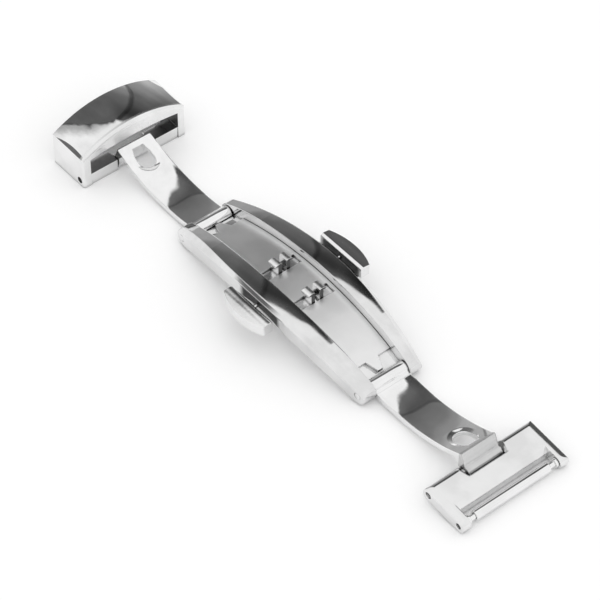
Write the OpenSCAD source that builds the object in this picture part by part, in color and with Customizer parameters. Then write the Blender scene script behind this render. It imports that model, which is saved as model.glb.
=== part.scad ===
// Butterfly deployant clasp for an 18 mm watch strap, lying open and flat.
// Millimetres. X runs along the strap, Y across it, Z up from the surface below.
// A bowed frame carries two folding arms. One arm ends in a domed cover and the
// other in a flat strap end. Two sprung push buttons move the latch hooks that
// catch the windows in the arms when the clasp is closed.

/* [Base frame] */
// Distance from the middle of the frame to each hinge pin
hinge_x = 22; // [20:0.5:24]
// Height of the hinge pins above the surface
hinge_z = 1.75; // [1.7:0.05:2.2]
// Height of the side bars at the middle
bar_top_z = 6.9; // [6.7:0.1:7.5]
// Radius of the arch along the top of the side bars
bar_arch_r = 85; // [75:1:100]
// Distance from the middle at which the arch turns down to the hinge
bar_shoulder_x = 14; // [12:0.5:15]
// Radius of the rounded ends of the side bars, about the hinge pins
bar_nose_r = 1.55; // [1.4:0.05:1.65]
// Height of the hollow underside at the middle
bar_under_z = 3.85; // [3.6:0.05:3.9]
// Half width over the side bars at the middle
frame_half_mid = 7.9; // [7.7:0.1:8.2]
// Half width over the side bars at the hinge pins
frame_half_end = 6.07; // [5.8:0.05:6.5]
// Distance from the centre line to the bevel on top of each bar, at the middle
bevel_y_mid = 7.35; // [7.1:0.05:7.6]
// Height of the lower edge of the bevel at the hinge pins
bevel_z_end = 2.5; // [2.4:0.05:2.8]
// Half width of the channel between the bars at the middle
channel_half_mid = 4.15; // [4.0:0.05:4.4]
// Half width of the channel between the bars at the hinge pins
channel_half_end = 3.5; // [3.45:0.05:3.8]
// Depth of the finger recess behind each button
recess_depth = 0.6; // [0.4:0.05:0.7]
// Radius of the finger recess seen from above
recess_r = 45; // [30:1:60]
// Height of the lip that is left over the finger recess, below the bevel
recess_lip = 0.3; // [0.2:0.05:0.5]

/* [Top plate] */
// Height of the brushed plate at the middle
plate_top_z = 5.4; // [5.2:0.05:5.6]
// Radius of the plate's arch
plate_arch_r = 70; // [68:1:72]
// Thickness of the plate
plate_t = 0.4; // [0.3:0.05:0.5]
// Gap between the plate and the side bars
plate_gap = 0.05; // [0.03:0.01:0.1]
// Distance from the middle to the plate's shoulders
plate_end_x = 18.3; // [17:0.1:19]
// Distance from the middle to the tip of the plate's tongue
tongue_tip_x = 20.4; // [20:0.1:20.5]
// Half width of the tongue where it leaves the plate
tongue_root_half = 1.25; // [1:0.05:1.6]
// Half width of the tongue at its tip
tongue_tip_half = 0.45; // [0.3:0.05:0.6]
// Width of the slots that the hooks stand in
slot_w = 2.15; // [2.1:0.05:2.5]
// Half length of the slots, across the plate
slot_half = 3.45; // [3:0.05:3.6]

/* [Latch] */
// Distance from the middle to each pair of hooks
hook_x = 4.12; // [4.0:0.02:4.3]
// Width of a hook along the clasp
hook_w = 1.9; // [1.6:0.05:2.0]
// Distance from the centre line to the back of a hook at rest
hook_back_y = 0.5; // [0.48:0.02:0.6]
// Thickness of a hook's upright
hook_t = 0.7; // [0.6:0.05:0.8]
// Reach of a hook's lip past its upright
hook_lip = 0.62; // [0.5:0.02:0.64]
// Height of the underside of a hook's lip
hook_under_z = 6.9; // [6.88:0.02:7]
// Height of a hook's head above the underside of its lip
hook_head_h = 0.42; // [0.4:0.02:0.6]
// Thickness of a slider
slider_t = 0.5; // [0.4:0.05:0.5]
// Half length of a slider along the clasp
slider_half = 5.2; // [5.1:0.05:5.5]
// Gap above and below a slider
slider_gap = 0.06; // [0.04:0.01:0.08]
// Wall of the frame outside the pocket of a slider
slider_wall = 1.18; // [1.1:0.02:1.3]
// Length of the boss that holds the button pin, across the clasp
boss_l = 1.05; // [0.9:0.05:1.1]
// Half width of the boss
boss_half = 1.1; // [0.9:0.05:1.3]
// Height of the boss above the button pin's axis
boss_rise = 0.4; // [0.3:0.05:0.4]
// Height of the button pins
button_pin_z = 5.27; // [5.25:0.01:5.3]
// Radius of the button pins
button_pin_r = 0.36; // [0.3:0.02:0.38]
// Running clearance of the button pins in the frame
button_pin_gap = 0.05; // [0.03:0.01:0.08]
// Radius of a latch spring, over the wire
latch_spring_r = 0.31; // [0.28:0.01:0.32]
// Radius of the wire of a latch spring
latch_wire_r = 0.065; // [0.05:0.005:0.07]
// Turns of a latch spring
latch_turns = 4; // [3:1:5]
// Inner wall of the spring's pocket, from the channel
spring_wall = 0.3; // [0.25:0.05:0.4]

/* [Buttons] */
// Gap between the frame and the flat back of a button
button_gap = 0.55; // [0.5:0.05:0.8]
// Depth of a button, from its flat back to the crown of its front
button_depth = 3.45; // [3.1:0.05:3.8]
// Depth of the flat ends of a button, from its back
button_end_d = 2.25; // [1.8:0.05:2.6]
// Half length of a button
button_half = 5.04; // [4.8:0.02:5.2]
// Height of the underside of a button
button_under_z = 4.2; // [4.0:0.05:4.4]
// Height of the top of a button
button_top_z = 6.4; // [6.2:0.05:6.6]
// Width of the slope along the back of a button's top
button_slope_w = 0.6; // [0.4:0.05:0.8]
// Drop of that slope
button_slope_h = 0.7; // [0.5:0.05:0.8]
// Radius of the crown across a button's top
button_crown_r = 9; // [6:0.5:12]
// Depth of the hole for the button pin
button_hole_d = 0.8; // [0.6:0.05:1]

/* [Folding arms] */
// Distance between the two pins of an arm
arm_l = 21.8; // [21.6:0.1:22]
// Half width of an arm
arm_half = 3.4; // [3:0.05:3.4]
// Thickness of the sheet
arm_t = 1; // [0.9:0.02:1.02]
// Radius of the bow of the sheet
arm_bow_r = 33; // [32:0.5:35]
// Distance from the hinge to the lowest point of the bow
arm_bow_u = 6; // [5:0.1:6.5]
// Depth of the bow's lowest point below the line of the pins
arm_bow_w = 0.35; // [0.2:0.05:0.5]
// Radius of the knuckle on the frame's hinge pin
knuckle_r = 1.2; // [1.1:0.05:1.3]
// Radius of the fillet between the sheet and that knuckle
knuckle_fillet_r = 0.5; // [0.3:0.05:0.7]
// Radius of the knuckle at the free end
free_knuckle_r = 1.15; // [1.1:0.05:1.15]
// Distance from the hinge to the top edge of the raised tip
arm_tip_u = 20.9; // [20.7:0.05:21]
// Distance from the hinge to the start of the step under the tip
arm_step_u = 19.3; // [19:0.05:19.6]
// Tilt of the arm that carries the strap end, upwards, in degrees
right_tilt = 0.3; // [0:0.1:0.6]
// Distance from the hinge to the middle of the window's round end
window_u = 17.5; // [17.3:0.05:17.7]
// Radius of the window's round end
window_r = 1.55; // [1.5:0.05:1.65]
// Distance from the hinge to the window's flat end
window_end_u = 19.85; // [19.5:0.05:19.9]
// Half width of the window's flat end
window_end_half = 1.1; // [0.9:0.05:1.3]
// Length of the window's taper
window_taper = 1.4; // [1:0.05:1.6]
// Radius of the ball that dishes the sheet round the window
dish_r = 6; // [5:0.5:8]
// Radius of the dish where it meets the sheet
dish_edge_r = 2.35; // [2.1:0.05:2.5]
// Running clearance of the arms on their pins
pin_gap = 0.04; // [0.02:0.01:0.08]
// Gap round the hinge knuckle in the frame
knuckle_gap = 0.15; // [0.1:0.01:0.2]

/* [Pins] */
// Radius of the two hinge pins
hinge_pin_r = 0.6; // [0.5:0.02:0.65]
// Length of a hinge pin's head that stands proud of the frame
hinge_pin_proud = 0.05; // [0:0.01:0.1]
// Width of the bevel round a hinge pin's ends
hinge_pin_bevel = 0.12; // [0.05:0.01:0.2]
// Radius of the pins at the free ends of the arms
arm_pin_r = 0.6; // [0.5:0.02:0.62]
// Depth of those pins' ends below the sides of the cover and the strap end
arm_pin_recess = 0.5; // [0.3:0.05:0.8]

/* [Cover] */
// Half width of the strap
strap_half = 9; // [8.8:0.05:9.1]
// Thickness of the walls beside the strap
lug_wall = 1.6; // [1.4:0.05:1.7]
// Height of the arm's pin above the cover's lower edge
cover_pin_z = 1.2; // [1.16:0.02:1.4]
// Distance from the arm's pin to the front of the cover
cover_front = 1.15; // [1.0:0.05:1.2]
// Distance from the arm's pin to the back of the cover
cover_back = 7.2; // [7:0.1:8]
// Height of the cover at its crown
cover_h = 9.35; // [9.2:0.05:9.6]
// Radius of the dome across the cover
cover_dome_r = 21; // [20:0.2:23]
// Radius of the slight crown along the cover
cover_crown_r = 60; // [45:1:80]
// Distance from the arm's pin back to the highest line of that crown
cover_crown_u = 3; // [2:0.1:4]
// Height of the side walls, up to the bevel, at the middle of the cover
cover_side_h = 6.3; // [6.1:0.05:6.4]
// Slope of the bevel along the top of the sides, in degrees
cover_bevel_slope = 42; // [38:1:46]
// Turn of that bevel in plan, which makes it wider at the front, in degrees
cover_bevel_turn = 1.5; // [0:0.25:2.5]
// Radius of the rolled front edge
cover_roll_r = 1; // [0.8:0.05:1.5]
// Height of the dome's front edge above the middle of that roll
cover_roll_h = 0.8; // [0.6:0.05:0.8]
// Width of the small bevel on the cover's upright front corners
cover_corner = 0.3; // [0.1:0.05:0.4]
// Height of the opening at the side walls
cover_mouth_side = 5.55; // [5.3:0.05:5.6]
// Height of the opening at the middle
cover_mouth_mid = 6.2; // [6:0.05:6.3]
// Height of the two blocks beside the arm, which hold its pin
cover_block_h = 2.3; // [2.1:0.05:2.5]
// Distance from the arm's pin to the back of those blocks
cover_block_back = 1.15; // [1.1:0.05:1.2]
// Depth of the blocks' front behind the front of the cover
cover_block_recess = 0.15; // [0.05:0.05:0.3]
// Distance from the arm's pin back to the cover's strap bar
cover_bar_u = 6.15; // [6.1:0.05:6.2]
// Height of the cover's strap bar
cover_bar_z = 1.9; // [1.7:0.05:2.4]
// Depth of the blind holes for the cover's strap bar
cover_bar_hole = 0.95; // [0.85:0.05:1.1]

/* [Strap end] */
// Distance from the arm's pin to the strap bar
strap_end_l = 6.82; // [6.6:0.02:7]
// Radius of the rounded edges, which is half the thickness
strap_end_r = 1.15; // [1.1:0.05:1.2]
// Distance from the arm's pin to the wall of the strap gap
strap_wall_u = 4.95; // [4.8:0.05:5.1]
// Distance from the arm's pin to the wall of the arm's notch
notch_u = 1.5; // [1.4:0.05:2]
// Half width of the arm's notch
notch_half = 3.55; // [3.5:0.05:3.8]
// Width of the bevels along the notch, at its wall
notch_bevel_w = 0.35; // [0.2:0.05:0.5]
// Turn of those bevels in plan, which makes them wider towards the arm, in degrees
notch_bevel_turn = 17; // [10:1:20]
// Width of the bevel along the strap gap
gap_bevel_w = 0.8; // [0.5:0.05:0.9]
// Width of the bevels along the upper outer edges
end_edge_w = 1; // [0.6:0.05:1.1]
// Slope of those bevels, in degrees
end_edge_slope = 22; // [15:1:30]

/* [Spring bars] */
// Radius of a spring bar's tube
tube_r = 0.82; // [0.78:0.01:0.9]
// Radius of the bore of the tube
tube_bore_r = 0.64; // [0.62:0.01:0.66]
// Half length of the tube
tube_half = 7.45; // [7.2:0.05:7.6]
// Thickness of the rolled end of the tube
tube_lip = 0.3; // [0.2:0.05:0.4]
// Radius of the tips
tip_r = 0.48; // [0.44:0.01:0.5]
// Clearance of the tips in their holes
tip_gap = 0.05; // [0.03:0.01:0.08]
// Depth that a tip enters its lug
tip_bite = 0.75; // [0.6:0.05:0.8]
// Gap between a tip's flange and the lug
flange_gap = 0.05; // [0.03:0.01:0.1]
// Thickness of a tip's flange
flange_t = 0.45; // [0.3:0.05:0.5]
// Radius of a tip's flange
flange_r = 0.78; // [0.7:0.01:0.85]
// Length of the guide at the inner end of a tip
guide_l = 1.2; // [0.8:0.1:1.6]
// Clearance of the guide in the tube
guide_gap = 0.04; // [0.03:0.01:0.06]
// Radius of the wire of a spring bar's spring
bar_wire_r = 0.1; // [0.08:0.01:0.12]
// Turns of a spring bar's spring
bar_turns = 16; // [12:1:20]

/* [Hidden] */

$fn = 96;
// Facets of the long, shallow arcs
fine = 360;
// A length that is sure to pass through everything
far = 60;
// Depth that joined shapes overlap by, so that they fuse
fuse = 0.2;

// Radius of the circle through the middle of an arc and its two ends
function arc_r(half, rise) = (half * half + rise * rise) / (2 * rise);

// Side bars: the shoulder circle touches the arch at the shoulder and the nose at the hinge
arch_z = bar_top_z - bar_arch_r;
shoulder_z = arch_z + sqrt(bar_arch_r * bar_arch_r - bar_shoulder_x * bar_shoulder_x);
shoulder_n = [bar_shoulder_x / bar_arch_r, (shoulder_z - arch_z) / bar_arch_r];
shoulder_d = [bar_shoulder_x - hinge_x, shoulder_z - hinge_z];
shoulder_r = (shoulder_d * shoulder_d - bar_nose_r * bar_nose_r) / (2 * (shoulder_n * shoulder_d - bar_nose_r));
shoulder_c = [bar_shoulder_x, shoulder_z] - shoulder_r * shoulder_n;

// The arch of the underside touches both noses
under_d = hinge_z - bar_under_z;
under_r = (hinge_x * hinge_x + under_d * under_d - bar_nose_r * bar_nose_r) / (2 * (bar_nose_r - under_d));

// Plan and bevels of the side bars
frame_r = arc_r(hinge_x, frame_half_mid - frame_half_end);
channel_r = arc_r(hinge_x, channel_half_mid - channel_half_end);
bevel_mid = (bevel_y_mid + bar_top_z) / sqrt(2);
bevel_end = (frame_half_end + bevel_z_end) / sqrt(2);
bevel_r = arc_r(hinge_x, bevel_mid - bevel_end);
bevel_foot_z = bevel_y_mid + bar_top_z - frame_half_mid;

// Arches of the plate, its seat and the sliders share one centre
plate_arch_z = plate_top_z - plate_arch_r;
seat_r = plate_arch_r - plate_t;
slider_top_r = seat_r - slider_gap;
slider_under_r = slider_top_r - slider_t;
pocket_r = slider_under_r - slider_gap;
slider_top_z = plate_arch_z + slider_top_r;
pocket_end_y = frame_half_mid - slider_wall;
slider_end_y = pocket_end_y - slider_gap;
pocket_top_z = button_pin_z + boss_rise + slider_gap;
pocket_start_y = channel_half_mid + spring_wall;
boss_start_y = slider_end_y - boss_l;
spring_l = boss_start_y - pocket_start_y;

// Hooks
hook_crown_r = arc_r((hook_t + hook_lip) * 2 / 3, hook_head_h);

// Buttons
button_back_y = frame_half_mid + button_gap;
button_front_y = button_back_y + button_depth;
button_arc_r = arc_r(button_half, button_depth - button_end_d);

// Arms: the bow is an arc about a point above the sheet
bow_z = arm_bow_r - arm_bow_w;
function sheet_top(u) = bow_z - sqrt(arm_bow_r * arm_bow_r - (u - arm_bow_u) * (u - arm_bow_u));
fillet_w = knuckle_fillet_r + sheet_top(knuckle_r);
fillet_u = sqrt(pow(knuckle_r + knuckle_fillet_r, 2) - fillet_w * fillet_w);
dish_c = [window_u, sheet_top(window_u)];
dish_n = ([arm_bow_u, bow_z] - dish_c) / arm_bow_r;
dish_rise = sqrt(dish_r * dish_r - dish_edge_r * dish_edge_r);

// The cover and the strap end both stand on the surface
end_half = strap_half + lug_wall;
left_tilt = asin((hinge_z - cover_pin_z) / arm_l);
cover_x = -hinge_x - arm_l * cos(left_tilt);
strap_end_x = hinge_x + arm_l * cos(right_tilt);
strap_end_z = hinge_z + arm_l * sin(right_tilt);
strap_end_tilt = asin((strap_end_z - strap_end_r) / strap_end_l);

// Cover
cover_mid_x = (cover_front - cover_back) / 2;
cover_crown_drop = cover_crown_r - sqrt(pow(cover_crown_r, 2) - pow(cover_crown_u + cover_front, 2));
cover_roll_in = cover_dome_r - cover_crown_drop - cover_roll_h;
mouth_r = arc_r(strap_half, cover_mouth_mid - cover_mouth_side);

// Spring bars
tip_end_y = strap_half + tip_bite;
flange_y = strap_half - flange_gap - flange_t;
guide_y = tube_half - tube_lip - guide_gap;
bar_spring_half = guide_y - guide_l;

// The origin is under the middle of the whole clasp
x_max = strap_end_x + strap_end_l * cos(strap_end_tilt) + strap_end_r;
x_min = cover_x - cover_back;
shift_x = -(x_max + x_min) / 2;

// Places the clasp with the middle of its length over the origin
module centred() {
    translate([shift_x, 0, 0]) children();
}

// Colours
steel = [0.78, 0.79, 0.8];
brushed = [0.7, 0.71, 0.72];
wire = [0.6, 0.61, 0.63];

// Extrudes an outline drawn across the clasp, from one x to another
module along_x(from, to) {
    translate([from, 0, 0]) rotate([90, 0, 90]) linear_extrude(to - from) children();
}

// Extrudes an outline drawn as seen from the side, from one y to another
module along_y(from, to) {
    translate([0, to, 0]) rotate([90, 0, 0]) linear_extrude(to - from) children();
}

// A round bar along Y
module round_y(r, from, to) {
    translate([0, from, 0]) rotate([-90, 0, 0]) cylinder(r = r, h = to - from);
}

// The space between two arches about the plate's centre, between two y
module arch_band(r_in, r_out, from, to) {
    translate([0, 0, plate_arch_z]) difference() {
        round_y(r_out, from, to, $fn = fine * 2);
        round_y(r_in, from - 1, to + 1, $fn = fine * 2);
    }
}

// A coil spring along Y, with flat closed ends
function coil_point(a, r, pitch) = [r * cos(a), pitch * a / 360, r * sin(a)];
function coil_ring(a, r, pitch, wire_r) =
    [for (k = [0:5]) coil_point(a, r, pitch)
        + wire_r * (cos(60 * k) * [cos(a), 0, sin(a)] + sin(60 * k) * [0, 1, 0])];
module coil(r, wire_r, turns, length) {
    pitch = (length - 2 * wire_r) / turns;
    steps = turns * 12;
    rings = [for (i = [0:steps]) each coil_ring(i * 30, r - wire_r, pitch, wire_r)];
    sides = [for (i = [0:steps - 1]) for (k = [0:5])
        let (a = i * 6 + k, b = i * 6 + (k + 1) % 6)
        each [[a, a + 6, b], [b, a + 6, b + 6]]];
    last = steps * 6;
    caps = [for (k = [1:4]) each [[0, k, k + 1], [last, last + k + 1, last + k]]];
    translate([0, wire_r, 0]) polyhedron(rings, concat(sides, caps));
}

// Side view of a side bar: arch, shoulders and round noses over a hollow underside
module bar_outline() {
    tip = [hinge_x, hinge_z];
    up = (tip - shoulder_c) / norm(tip - shoulder_c);
    down = ([0, bar_under_z - under_r] - tip) / norm([0, bar_under_z - under_r] - tip);
    difference() {
        union() {
            intersection() {
                translate([0, arch_z]) circle(bar_arch_r, $fn = fine);
                translate([-bar_shoulder_x, 0]) square([2 * bar_shoulder_x, bar_top_z + 1]);
            }
            for (s = [0, 1]) mirror([s, 0]) {
                intersection() {
                    translate(shoulder_c) circle(shoulder_r, $fn = fine);
                    polygon([[bar_shoulder_x, -bar_nose_r], [bar_shoulder_x, bar_top_z],
                             tip + 3 * bar_nose_r * up, tip, tip + 2 * bar_nose_r * down]);
                }
                translate(tip) circle(bar_nose_r);
            }
        }
        translate([0, bar_under_z - under_r]) circle(under_r, $fn = fine);
    }
}

// Plan of the channel between the bars, drawn in by a gap
module channel_plan(gap, half_l) {
    intersection_for (s = [-1, 1]) {
        translate([0, s * (channel_r - channel_half_mid + gap)]) circle(channel_r, $fn = fine * 4);
        translate([-half_l, -far / 2]) square([2 * half_l, far]);
    }
}

// The blank of the frame: side view, plan and the two long bevels
module frame_blank() {
    intersection() {
        along_y(-frame_half_mid, frame_half_mid) bar_outline();
        intersection_for (s = [-1, 1])
            translate([0, s * (frame_r - frame_half_mid), 0]) cylinder(r = frame_r, h = far, $fn = fine * 2);
        intersection_for (s = [0, 1])
            mirror([0, s, 0]) rotate([45, 0, 0]) translate([0, bevel_mid - bevel_r, -far / 2])
                cylinder(r = bevel_r, h = far, $fn = fine);
    }
}

module base_frame() {
    color(steel) centred() difference() {
        frame_blank();
        // Channel above the plate's seat
        difference() {
            linear_extrude(far) channel_plan(0, far / 2);
            translate([0, 0, plate_arch_z]) round_y(seat_r, -far, far, $fn = fine * 2);
        }
        // Pocket that both sliders run in, through the channel and into the bars
        intersection() {
            arch_band(pocket_r, seat_r, -pocket_end_y, pocket_end_y);
            translate([-slider_half - slider_gap, -far, 0]) cube([2 * (slider_half + slider_gap), 2 * far, far]);
        }
        for (s = [0, 1]) mirror([0, s, 0]) {
            // Pocket for the boss and the latch spring
            translate([-boss_half - slider_gap, pocket_start_y, slider_top_z - fuse])
                cube([2 * (boss_half + slider_gap), pocket_end_y - pocket_start_y, pocket_top_z - slider_top_z + fuse]);
            // Hole for the button pin
            translate([0, 0, button_pin_z]) round_y(button_pin_r + button_pin_gap, pocket_end_y - fuse, far);
            // Finger recess
            translate([0, frame_half_mid - recess_depth + recess_r, -1])
                cylinder(r = recess_r, h = bevel_foot_z - recess_lip + 1, $fn = fine);
        }
        // Hinge pin holes and room for the knuckles
        for (s = [-1, 1]) translate([s * hinge_x, 0, hinge_z]) {
            round_y(hinge_pin_r, -far / 2, far / 2);
            intersection() {
                round_y(knuckle_r + knuckle_gap, -frame_half_mid, frame_half_mid);
                translate([-s * hinge_x, 0, -far / 2]) linear_extrude(far) channel_plan(0, far / 2);
            }
        }
        for (s = [0, 1]) mirror([s, 0, 0]) intersection() {
            translate([hinge_x - bar_nose_r / 2, -far / 2, -1]) cube([far, far, far]);
            translate([0, 0, -1]) linear_extrude(far) channel_plan(0, far / 2);
        }
    }
}

// Plan of both tongues of the plate, joined through the middle
module tongue_plan() {
    polygon([[-tongue_tip_x, -tongue_tip_half], [-plate_end_x, -tongue_root_half],
             [plate_end_x, -tongue_root_half], [tongue_tip_x, -tongue_tip_half],
             [tongue_tip_x, tongue_tip_half], [plate_end_x, tongue_root_half],
             [-plate_end_x, tongue_root_half], [-tongue_tip_x, tongue_tip_half]]);
}

module top_plate() {
    color(brushed) centred() intersection() {
        arch_band(seat_r, plate_arch_r, -frame_half_mid, frame_half_mid);
        linear_extrude(far) difference() {
            union() {
                channel_plan(plate_gap, plate_end_x);
                tongue_plan();
            }
            for (s = [-1, 1]) translate([s * hook_x - slot_w / 2, -slot_half]) square([slot_w, 2 * slot_half]);
        }
    }
}

// Section of one hook across the clasp: an upright with a rounded head and a lip
module hook_section() {
    head_w = hook_t + hook_lip;
    translate([hook_back_y, slider_top_z - fuse]) square([hook_t, hook_under_z - slider_top_z + 2 * fuse]);
    intersection() {
        translate([hook_back_y, hook_under_z]) square([head_w, hook_head_h]);
        translate([hook_back_y + head_w / 3, hook_under_z + hook_head_h - hook_crown_r]) circle(hook_crown_r);
    }
}

// The slider of the far button: a plate in the pocket, a boss and two hooks
module latch_slider() {
    intersection() {
        arch_band(slider_under_r, slider_top_r, hook_back_y, slider_end_y);
        translate([-slider_half, -far, 0]) cube([2 * slider_half, 2 * far, far]);
    }
    difference() {
        translate([-boss_half, boss_start_y, slider_top_z - fuse])
            cube([2 * boss_half, boss_l, button_pin_z + boss_rise - slider_top_z + fuse]);
        translate([0, 0, button_pin_z]) round_y(button_pin_r, boss_start_y + fuse, far);
    }
    for (s = [-1, 1]) along_x(s * hook_x - hook_w / 2, s * hook_x + hook_w / 2) hook_section();
}

module latch_slider_near() {
    color(steel) centred() mirror([0, 1, 0]) latch_slider();
}

module latch_slider_far() {
    color(steel) centred() latch_slider();
}

// Section of a button: flat back, sloped upper edge and crowned top
module button_section() {
    top = button_back_y + button_slope_w;
    intersection() {
        polygon([[button_back_y, button_under_z], [button_back_y, button_top_z - button_slope_h],
                 [top, button_top_z], [button_front_y + 1, button_top_z + 1], [button_front_y + 1, button_under_z]]);
        translate([top, button_top_z - button_crown_r]) circle(button_crown_r, $fn = fine);
    }
}

// The far button: a D seen from above, cut to its section
module button() {
    difference() {
        intersection() {
            along_x(-button_half, button_half) button_section();
            translate([0, button_front_y - button_arc_r, 0]) cylinder(r = button_arc_r, h = far, $fn = fine);
        }
        translate([0, 0, button_pin_z]) round_y(button_pin_r, button_back_y - 1, button_back_y + button_hole_d);
    }
}

module button_near() {
    color(steel) centred() mirror([0, 1, 0]) button();
}

module button_far() {
    color(steel) centred() button();
}

module button_pin() {
    translate([0, 0, button_pin_z]) round_y(button_pin_r, boss_start_y + fuse, button_back_y + button_hole_d);
}

module button_pin_near() {
    color(steel) centred() mirror([0, 1, 0]) button_pin();
}

module button_pin_far() {
    color(steel) centred() button_pin();
}

module latch_spring() {
    translate([0, pocket_start_y, button_pin_z]) coil(latch_spring_r, latch_wire_r, latch_turns, spring_l);
}

module latch_spring_near() {
    color(wire) centred() mirror([0, 1, 0]) latch_spring();
}

module latch_spring_far() {
    color(wire) centred() latch_spring();
}

// A hinge pin with bevelled heads that stand just proud of the frame
module hinge_pin() {
    end = frame_half_end + hinge_pin_proud;
    round_y(hinge_pin_r, -end + hinge_pin_bevel, end - hinge_pin_bevel);
    for (s = [0, 1]) mirror([0, s, 0]) translate([0, end - hinge_pin_bevel, 0]) rotate([-90, 0, 0])
        cylinder(r1 = hinge_pin_r, r2 = hinge_pin_r - hinge_pin_bevel, h = hinge_pin_bevel);
}

module left_hinge_pin() {
    color(steel) centred() translate([-hinge_x, 0, hinge_z]) hinge_pin();
}

module right_hinge_pin() {
    color(steel) centred() translate([hinge_x, 0, hinge_z]) hinge_pin();
}

// Side view of the bowed sheet, from its hinge at the origin
module sheet_outline() {
    intersection() {
        difference() {
            translate([arm_bow_u, bow_z]) circle(arm_bow_r + arm_t, $fn = fine);
            translate([arm_bow_u, bow_z]) circle(arm_bow_r, $fn = fine);
        }
        translate([0, -arm_bow_r / 2]) square([arm_tip_u, arm_bow_r]);
    }
}

// Fillet in the valley between the sheet and the hinge knuckle
module fillet_outline() {
    difference() {
        polygon([[0, 0], [fillet_u, fillet_w], [fillet_u, -arm_bow_w]]);
        translate([fillet_u, fillet_w]) circle(knuckle_fillet_r);
    }
}

// Step from the raised tip down to the free knuckle
module step_outline() {
    polygon([[arm_step_u, sheet_top(arm_step_u) - arm_t / 2], [arm_tip_u, sheet_top(arm_tip_u)],
             [arm_l, free_knuckle_r], [arm_l, 0], [arm_l - free_knuckle_r, 0],
             [arm_step_u, sheet_top(arm_step_u) - arm_t]]);
}

// An arm before it is bored and pierced
module arm_blank() {
    along_y(-arm_half, arm_half) sheet_outline();
    along_y(-arm_half, arm_half) fillet_outline();
    along_y(-arm_half, arm_half) step_outline();
    round_y(knuckle_r, -arm_half, arm_half);
    translate([arm_l, 0, 0]) round_y(free_knuckle_r, -arm_half, arm_half);
}

// Plan of the window that the hooks catch: round towards the hinge, flat towards the tip
module window_plan() {
    taper_u = window_end_u - window_taper;
    translate([window_u, 0]) circle(window_r);
    polygon([[window_u, -window_r], [taper_u, -window_r], [window_end_u, -window_end_half],
             [window_end_u, window_end_half], [taper_u, window_r], [window_u, window_r]]);
}

module arm() {
    difference() {
        arm_blank();
        translate([0, 0, -far / 2]) linear_extrude(far) window_plan();
        translate([dish_c[0] + dish_rise * dish_n[0], 0, dish_c[1] + dish_rise * dish_n[1]]) sphere(dish_r);
        round_y(hinge_pin_r + pin_gap, -far / 2, far / 2);
        translate([arm_l, 0, 0]) round_y(arm_pin_r + pin_gap, -far / 2, far / 2);
    }
}

module left_arm() {
    color(steel) centred() mirror([1, 0, 0]) translate([hinge_x, 0, hinge_z]) rotate([0, left_tilt, 0]) arm();
}

module right_arm() {
    color(steel) centred() translate([hinge_x, 0, hinge_z]) rotate([0, -right_tilt, 0]) arm();
}

// The pin that joins an arm to the cover or to the strap end
module arm_pin() {
    round_y(arm_pin_r, -end_half + arm_pin_recess, end_half - arm_pin_recess);
}

// The dome: an arch across the cover, swept along a slight crown
module cover_dome() {
    translate([-cover_crown_u, 0, cover_h - cover_crown_r]) rotate([90, 0, 0]) rotate_extrude($fn = fine)
        translate([cover_crown_r - cover_dome_r, 0]) intersection() {
            circle(cover_dome_r, $fn = fine);
            translate([0, -cover_dome_r]) square([cover_dome_r, 2 * cover_dome_r]);
        }
}

// The rolled front edge, which follows the dome's arch
module cover_roll() {
    roll_x = cover_front - cover_roll_r;
    translate([0, 0, cover_h - cover_dome_r]) rotate([0, 90, 0]) rotate_extrude($fn = fine) {
        translate([0, -cover_back]) square([cover_dome_r + fuse, cover_back + roll_x]);
        translate([0, roll_x - fuse]) square([cover_roll_in, cover_roll_r + fuse]);
        intersection() {
            translate([cover_roll_in, roll_x]) circle(cover_roll_r, $fn = fine);
            translate([cover_roll_in - fuse, roll_x - fuse]) square([cover_roll_r + 2 * fuse, far]);
        }
    }
}

// Everything above the bevel along the top of the near side
module cover_bevel() {
    translate([cover_mid_x, -end_half, cover_side_h]) rotate([0, 0, cover_bevel_turn])
        rotate([cover_bevel_slope, 0, 0]) translate([-far, -far, 0]) cube([2 * far, 2 * far, far]);
}

// Plan of the cover with small bevels on its front corners
module cover_plan() {
    polygon([[-cover_back, -end_half], [cover_front - cover_corner, -end_half],
             [cover_front, cover_corner - end_half], [cover_front, end_half - cover_corner],
             [cover_front - cover_corner, end_half], [-cover_back, end_half]]);
}

// The mouth that runs through the cover, with a slightly arched ceiling
module cover_mouth() {
    intersection() {
        translate([-strap_half, -1]) square([2 * strap_half, cover_mouth_mid + 1]);
        translate([0, cover_mouth_mid - mouth_r]) circle(mouth_r, $fn = fine * 2);
    }
}

// The far block that holds the arm's pin, from the arm's notch to the side wall
module cover_block() {
    front = cover_front - cover_block_recess;
    translate([-cover_block_back, notch_half, 0])
        cube([cover_block_back + front, strap_half - notch_half + fuse, cover_block_h]);
}

// The domed shell, open at the front, the back and below
module cover_shell() {
    difference() {
        intersection() {
            linear_extrude(cover_h + 1) cover_plan();
            cover_dome();
            cover_roll();
        }
        for (s = [0, 1]) mirror([0, s, 0]) cover_bevel();
        along_x(-far, far) cover_mouth();
    }
}

module cover() {
    color(steel) centred() translate([cover_x, 0, 0]) difference() {
        union() {
            cover_shell();
            for (s = [0, 1]) mirror([0, s, 0]) cover_block();
        }
        translate([0, 0, cover_pin_z]) round_y(arm_pin_r, -far, far);
        translate([-cover_bar_u, 0, cover_bar_z])
            round_y(tip_r + tip_gap, -strap_half - cover_bar_hole, strap_half + cover_bar_hole);
    }
}

module cover_pin() {
    color(steel) centred() translate([cover_x, 0, cover_pin_z]) arm_pin();
}

// Places a shape that is drawn about the strap end's arm pin
module at_strap_end() {
    translate([strap_end_x, 0, strap_end_z]) rotate([0, strap_end_tilt, 0]) children();
}

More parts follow.
